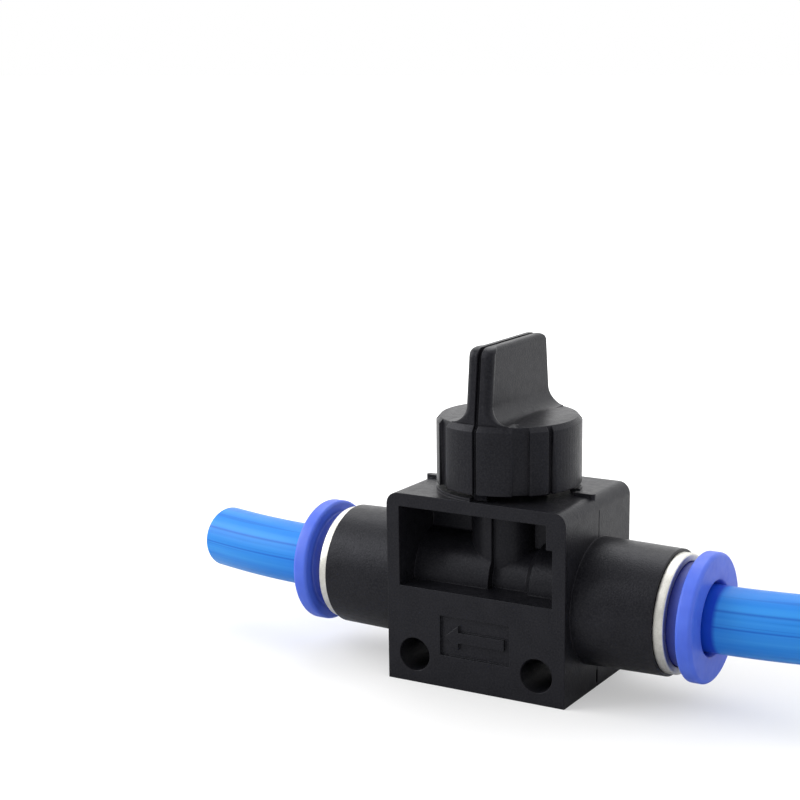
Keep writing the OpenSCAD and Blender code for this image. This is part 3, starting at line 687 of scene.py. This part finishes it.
def blade_levels():
    """Height, half thickness and half length of the blade's sections, from foot to top."""
    levels = [(BLADE_BOTTOM, BLADE_HALF_T + BLEND_R)]
    for step in range(ARC_STEPS + 1):
        a = math.radians(90 * step / ARC_STEPS)
        z = BLEND_TOP - BLEND_R * math.cos(a)
        levels.append((z, BLADE_HALF_T + BLEND_R * (1 - math.sin(a))))
    straight_top = BLADE_TOP - BLADE_CORNER_R
    for step in range(1, BLADE_FACE_STEPS + 1):
        z = BLEND_TOP + (straight_top - BLEND_TOP) * step / BLADE_FACE_STEPS
        levels.append((z, BLADE_HALF_T))
    for step in range(1, BLADE_TOP_STEPS + 1):
        z = straight_top + BLADE_CORNER_R * math.sin(math.radians(90 * step / BLADE_TOP_STEPS))
        above = max(0.0, z - (BLADE_TOP - BLADE_EDGE_R))
        edge = math.sqrt(max(0.0, BLADE_EDGE_R ** 2 - above ** 2))
        levels.append((z, BLADE_HALF_T - BLADE_EDGE_R + edge))
    out = []
    for z, half_t in levels:
        share = min(1.0, (z - BLADE_BOTTOM) / (straight_top - BLADE_BOTTOM))
        half_len = BLADE_FOOT_HALF + (BLADE_TOP_HALF - BLADE_FOOT_HALF) * share
        above = max(0.0, z - straight_top)
        half_len += math.sqrt(max(0.0, BLADE_CORNER_R ** 2 - above ** 2)) - BLADE_CORNER_R
        out.append((z, half_t, half_len))
    return out


def arc(x, y, radius, first, last):
    """Points in plan on an arc about (x, y), between two angles in degrees."""
    out = []
    for step in range(ARC_STEPS + 1):
        a = math.radians(first + (last - first) * step / ARC_STEPS)
        out.append((x + radius * math.cos(a), y + radius * math.sin(a)))
    return out


def blade_half_outline(half_t, half_len):
    """Right half of the blade in plan, from its pointer end to its back, with round corners."""
    low, high = POINTER_CORNER_R - half_len, half_len - BACK_CORNER_R
    straight = [(half_t, low + (high - low) * step / BLADE_SIDE_STEPS)
                for step in range(1, BLADE_SIDE_STEPS)]
    return [(0.0, -half_len),
            *arc(half_t - POINTER_CORNER_R, low, POINTER_CORNER_R, -90, 0),
            *straight,
            *arc(half_t - BACK_CORNER_R, high, BACK_CORNER_R, 0, 90),
            (0.0, half_len)]


def blade_section(half_t, half_len):
    """Plan outline of the blade at one height, with its sides drawn in behind the pointer."""
    outline = []
    for x, y in blade_half_outline(half_t, half_len):
        share = (y + half_len - HOLLOW_FROM) / (HOLLOW_FULL - HOLLOW_FROM)
        share = min(1.0, max(0.0, share))
        eased = share * share * (3 - 2 * share)
        point = Vector((x * (1 - HOLLOW_DEPTH * eased / half_t), y))
        outline.append(point * min(1.0, (SHOULDER_R - RIM_INSET) / point.length))
    return outline + [Vector((-p.x, p.y)) for p in outline[-2:0:-1]]


def blade_solid():
    """The blade without its groove, lofted through the sections."""
    verts, faces = [], []
    levels = blade_levels()
    for z, half_t, half_len in levels:
        section = blade_section(half_t, half_len)
        verts += [(p.x, p.y, z) for p in section]
    n = len(section)
    last = (len(levels) - 1) * n
    for low in range(0, last, n):
        for k in range(n):
            m = (k + 1) % n
            faces.append((low + k, low + m, low + n + m, low + n + k))
    faces.append(tuple(range(n))[::-1])
    faces.append(tuple(range(last, last + n)))
    return finished_mesh("blade", verts, faces)


def groove_cutter():
    """Slot over the blade and down its pointer end."""
    floor_top = BLADE_TOP - GROOVE_DEPTH
    bottom = BLADE_BOTTOM - GROOVE_BELOW
    top_y = GROOVE_DEPTH - BLADE_TOP_HALF
    far = BLADE_TOP_HALF + 2 * OVER
    path = [(GROOVE_DEPTH - BLADE_FOOT_HALF, bottom), (top_y, floor_top - BLADE_CORNER_R)]
    for step in range(1, ARC_STEPS + 1):
        a = math.radians(90 * step / ARC_STEPS)
        path.append((top_y + BLADE_CORNER_R * (1 - math.cos(a)),
                     floor_top - BLADE_CORNER_R * (1 - math.sin(a))))
    path += [(far, floor_top), (far, BLADE_TOP + OVER), (-far, BLADE_TOP + OVER),
             (-far, bottom)]
    n = len(path)
    verts = [(x, y, z) for x in (-GROOVE_HALF_W, GROOVE_HALF_W) for y, z in path]
    faces = [tuple(range(n)), tuple(range(n, 2 * n))[::-1]]
    faces += [(k, n + k, n + (k + 1) % n, (k + 1) % n) for k in range(n)]
    return finished_mesh("groove", verts, faces)


def space_over_shoulder():
    """Everything above the shoulder of the knob, by a hair."""
    profile = [(SHOULDER_HIGH + HAIR, BLADE_HALF_T + BLEND_R), (SHOULDER_LOW + HAIR, SHOULDER_R),
               (SHOULDER_LOW + HAIR, SHOULDER_R + OVER), (BLADE_TOP + OVER, SHOULDER_R + OVER)]
    verts = [(0, 0, SHOULDER_HIGH + HAIR), (0, 0, BLADE_TOP + OVER)]
    n = len(profile)
    for k in range(SHOULDER_TURNS):
        a = 2 * math.pi * k / SHOULDER_TURNS
        verts += [(r * math.cos(a), r * math.sin(a), z) for z, r in profile]
    faces = []
    for k in range(SHOULDER_TURNS):
        here, ahead = 2 + k * n, 2 + (k + 1) % SHOULDER_TURNS * n
        faces.append((0, ahead, here))
        faces.append((1, here + n - 1, ahead + n - 1))
        for i in range(n - 1):
            faces.append((here + i, ahead + i, ahead + i + 1, here + i + 1))
    return finished_mesh("over_shoulder", verts, faces)


def build_knob():
    """Skirt, shoulder and inside of the CAD knob, with a blade that has rounded corners."""
    bm = bmesh.new()
    bm.from_mesh(nodes["knob"].data)
    bmesh.ops.remove_doubles(bm, verts=bm.verts, dist=WELD)
    mesh = bpy.data.meshes.new("knob_moulded")
    bm.to_mesh(mesh)
    bm.free()
    knob = place_in_scene("knob_moulded", mesh)
    combined_mesh(knob, space_over_shoulder(), "DIFFERENCE")
    blade = blade_solid()
    combined_mesh(blade, groove_cutter(), "DIFFERENCE")
    combined_mesh(knob, blade, "UNION")
    smooth(knob.data, KNOB_SHARP_ANGLE)
    finish_piece(knob, "knob", "black_plastic")


def add_floor():
    """Pale floor that keeps the object's shadow and turns pure white away from it."""
    mesh = bpy.data.meshes.new("floor")
    corners = [(-FLOOR_HALF, -FLOOR_HALF, 0), (FLOOR_HALF, -FLOOR_HALF, 0),
               (FLOOR_HALF, FLOOR_HALF, 0), (-FLOOR_HALF, FLOOR_HALF, 0)]
    mesh.from_pydata(corners, [], [(0, 1, 2, 3)])
    floor = place_in_scene("floor", mesh)
    floor.location.z = -FLOOR_DROP
    s = Shader("floor", Roughness=0.9, Specular_IOR_Level=0.1)
    s.bsdf.inputs["Base Color"].default_value = (*FLOOR_COLOUR, 1.0)
    path = s.add("ShaderNodeLightPath")
    shown = s.math("MAXIMUM", path.outputs["Is Camera Ray"], path.outputs["Is Transmission Ray"])
    away = s.ramp(s.length(s.place()), FLOOR_GLOW_FROM, FLOOR_GLOW_FULL, FLOOR_GLOW_NEAR, 1.0)
    behind = s.ramp(s.axis("Y"), FLOOR_MIRRORED_FROM, FLOOR_MIRRORED_FULL,
                    FLOOR_MIRRORED_FRONT, FLOOR_MIRRORED_BACK)
    mirrored = s.math("MULTIPLY", path.outputs["Is Glossy Ray"], behind)
    glow = s.add("ShaderNodeEmission")
    strength = s.math("MAXIMUM", s.math("MULTIPLY", shown, away), mirrored)
    s.link(strength, glow.inputs["Strength"])
    both = s.add("ShaderNodeAddShader")
    s.link(s.bsdf.outputs["BSDF"], both.inputs[0])
    s.link(glow.outputs["Emission"], both.inputs[1])
    s.link(both.outputs["Shader"], s.output.inputs["Surface"])
    mesh.materials.append(s.material)


def add_surround():
    """White to the camera. To light and reflections it is brighter behind than in front."""
    world = bpy.data.worlds.new("studio")
    bpy.context.scene.world = world
    world.use_nodes = True
    s = NodeTree(world.node_tree)
    out = s.add("ShaderNodeOutputWorld")
    sky = s.add("ShaderNodeBackground")
    sky.inputs["Color"].default_value = (1.0, 1.0, 1.0, 1.0)
    path = s.add("ShaderNodeLightPath")
    ahead = s.parts(s.place("Generated"))
    behind = s.math("ADD", ahead["Y"], s.math("MULTIPLY", ahead["Z"], OVERHEAD_SHARE))
    strength = s.math("MAXIMUM", path.outputs["Is Camera Ray"],
                      path.outputs["Is Transmission Ray"])
    for ray, front, back in (("Is Glossy Ray", MIRRORED_FRONT, MIRRORED_BACK),
                             ("Is Diffuse Ray", DIFFUSE_FRONT, DIFFUSE_BACK)):
        level = s.ramp(behind, -SURROUND_SPAN, SURROUND_SPAN, front, back)
        strength = s.math("MAXIMUM", strength, s.math("MULTIPLY", path.outputs[ray], level))
    s.link(strength, sky.inputs["Strength"])
    s.link(sky.outputs["Background"], out.inputs["Surface"])


def add_softbox(name, azimuth, elevation, size, power):
    """Square softbox that faces the object. Its size is in metres and its power in watts."""
    data = bpy.data.lights.new(name, "AREA")
    data.shape = "SQUARE"
    data.size = size
    data.energy = power
    lamp = place_in_scene(name, data)
    back = direction(azimuth, elevation)
    lamp.location = LIGHT_AIM + back * LIGHT_DISTANCE
    lamp.rotation_mode = "QUATERNION"
    lamp.rotation_quaternion = (-back).to_track_quat("-Z", "Y")


add_camera()
add_floor()
add_surround()
add_softbox("key", KEY_AZIMUTH, KEY_ELEVATION, KEY_SIZE, KEY_POWER)
add_softbox("top", TOP_AZIMUTH, TOP_ELEVATION, TOP_SIZE, TOP_POWER)
for row in frame["record"]["subparts"]:
    dress(nodes[row["node"]], row["material_slot"])
build_knob()
for side_name in SIDES:
    build_port_ring(side_name)
    build_collet(side_name)
    build_tube(side_name)

bpy.context.scene.view_settings.view_transform = "Standard"
